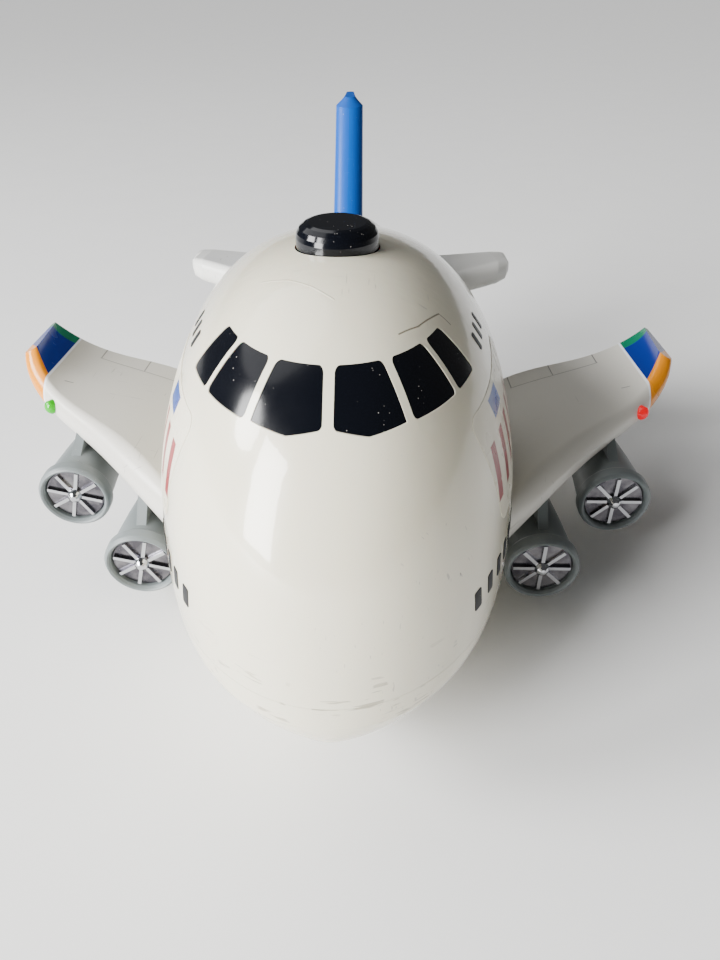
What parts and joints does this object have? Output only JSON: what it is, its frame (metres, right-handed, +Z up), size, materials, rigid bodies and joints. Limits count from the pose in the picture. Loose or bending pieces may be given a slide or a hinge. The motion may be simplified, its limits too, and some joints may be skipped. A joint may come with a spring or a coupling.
{
  "type": "toy airplane",
  "caption": "Chubby toy jumbo jet with a rounded ivory body, black cockpit panes, swept wings, spinning engine fans, push knob and rolling wheels.",
  "frame": {"origin": "on the floor, at the middle of the toy's length and width, where the wheels touch", "axes": "nose to -Y, wings along X, +Z up"},
  "size_m": [0.2568, 0.236, 0.1462],
  "materials": {
    "black_gloss": "glossy black plastic",
    "blue_plastic": "glossy blue plastic",
    "board_green": "green circuit board",
    "cell_case": "plain dry cell jacket",
    "chrome_fan": "vacuum plated plastic",
    "contact_metal": "plated spring steel",
    "diode_clear": "clear epoxy diode",
    "hub_grey": "grey plastic hub",
    "ivory_plastic": "glossy ivory moulded plastic",
    "ivory_under": "glossy ivory moulded plastic, belly",
    "lens_green": "tinted translucent plastic",
    "lens_red": "tinted translucent plastic",
    "nacelle_grey": "satin grey plastic",
    "speaker_cone": "speaker cone and frame",
    "steel_pin": "steel wire",
    "tyre_rubber": "soft black rubber",
    "white_plastic": "glossy white plastic",
    "wing_plastic": "satin ivory plastic"
  },
  "bodies": {
    "airframe": {"battery_cell_1": "cell_case", "battery_cell_2": "cell_case", "battery_cell_3": "cell_case", "battery_door": "ivory_under", "belly_shell": "ivory_under", "board_screws": "steel_pin", "button_spring": "steel_pin", "circuit_board": "board_green", "contact_plates": "contact_metal", "door_screw": "steel_pin", "fin": "blue_plastic", "lamp_diode_left": "diode_clear", "lamp_diode_right": "diode_clear", "lamp_lens_left": "lens_red", "lamp_lens_right": "lens_green", "nacelle_inner_left": "nacelle_grey", "nacelle_inner_right": "nacelle_grey", "nacelle_outer_left": "nacelle_grey", "nacelle_outer_right": "nacelle_grey", "nose_axle": "steel_pin", "push_switch": "black_gloss", "shell_screws": "steel_pin", "speaker": "speaker_cone", "stabiliser_left": "white_plastic", "stabiliser_right": "white_plastic", "switch_body": "black_gloss", "upper_shell": "ivory_plastic", "windscreen_insert": "black_gloss", "wing_bottom_left": "wing_plastic", "wing_bottom_right": "wing_plastic", "wing_top_left": "wing_plastic", "wing_top_right": "wing_plastic"},
    "push_button": {"push_button": "black_gloss"},
    "main_wheelset": {"main_axle": "steel_pin", "wheel_hub_left": "hub_grey", "wheel_hub_right": "hub_grey", "tyre_left": "tyre_rubber", "tyre_right": "tyre_rubber"},
    "nose_wheel": {"nose_wheel_hub": "hub_grey", "nose_tyre": "tyre_rubber"},
    "power_slider": {"power_slider": "black_gloss"},
    "fan_inner_left": {"fan_inner_left": "chrome_fan", "fan_pin_inner_left": "steel_pin"},
    "fan_inner_right": {"fan_inner_right": "chrome_fan", "fan_pin_inner_right": "steel_pin"},
    "fan_outer_left": {"fan_outer_left": "chrome_fan", "fan_pin_outer_left": "steel_pin"},
    "fan_outer_right": {"fan_outer_right": "chrome_fan", "fan_pin_outer_right": "steel_pin"}
  },
  "joints": [
    {"name": "button_press", "type": "slide", "parent": "airframe", "child": "push_button", "axis": [0, 0, -1], "range_m": [0, 0.0025], "stiffness_N_per_m": 250, "springref_m": -0.0008, "deforming": ["button_spring"]},
    {"name": "main_wheels_roll", "type": "hinge", "parent": "airframe", "child": "main_wheelset", "pos_m": [0, 0.03, 0.01], "axis": [1, 0, 0], "continuous": true},
    {"name": "nose_wheel_roll", "type": "hinge", "parent": "airframe", "child": "nose_wheel", "pos_m": [0, -0.078, 0.008], "axis": [1, 0, 0], "continuous": true},
    {"name": "power_slide", "type": "slide", "parent": "airframe", "child": "power_slider", "axis": [1, 0, 0], "range_m": [0, 0.003]},
    {"name": "fan_inner_left_spin", "type": "hinge", "parent": "airframe", "child": "fan_inner_left", "pos_m": [0.0694, -0.0391, 0.0204], "axis": [0, 1, 0], "continuous": true},
    {"name": "fan_inner_right_spin", "type": "hinge", "parent": "airframe", "child": "fan_inner_right", "pos_m": [-0.0694, -0.0391, 0.0204], "axis": [0, 1, 0], "continuous": true},
    {"name": "fan_outer_left_spin", "type": "hinge", "parent": "airframe", "child": "fan_outer_left", "pos_m": [0.0984, -0.0147, 0.0311], "axis": [0, 1, 0], "continuous": true},
    {"name": "fan_outer_right_spin", "type": "hinge", "parent": "airframe", "child": "fan_outer_right", "pos_m": [-0.0984, -0.0147, 0.0311], "axis": [0, 1, 0], "continuous": true}
  ]
}
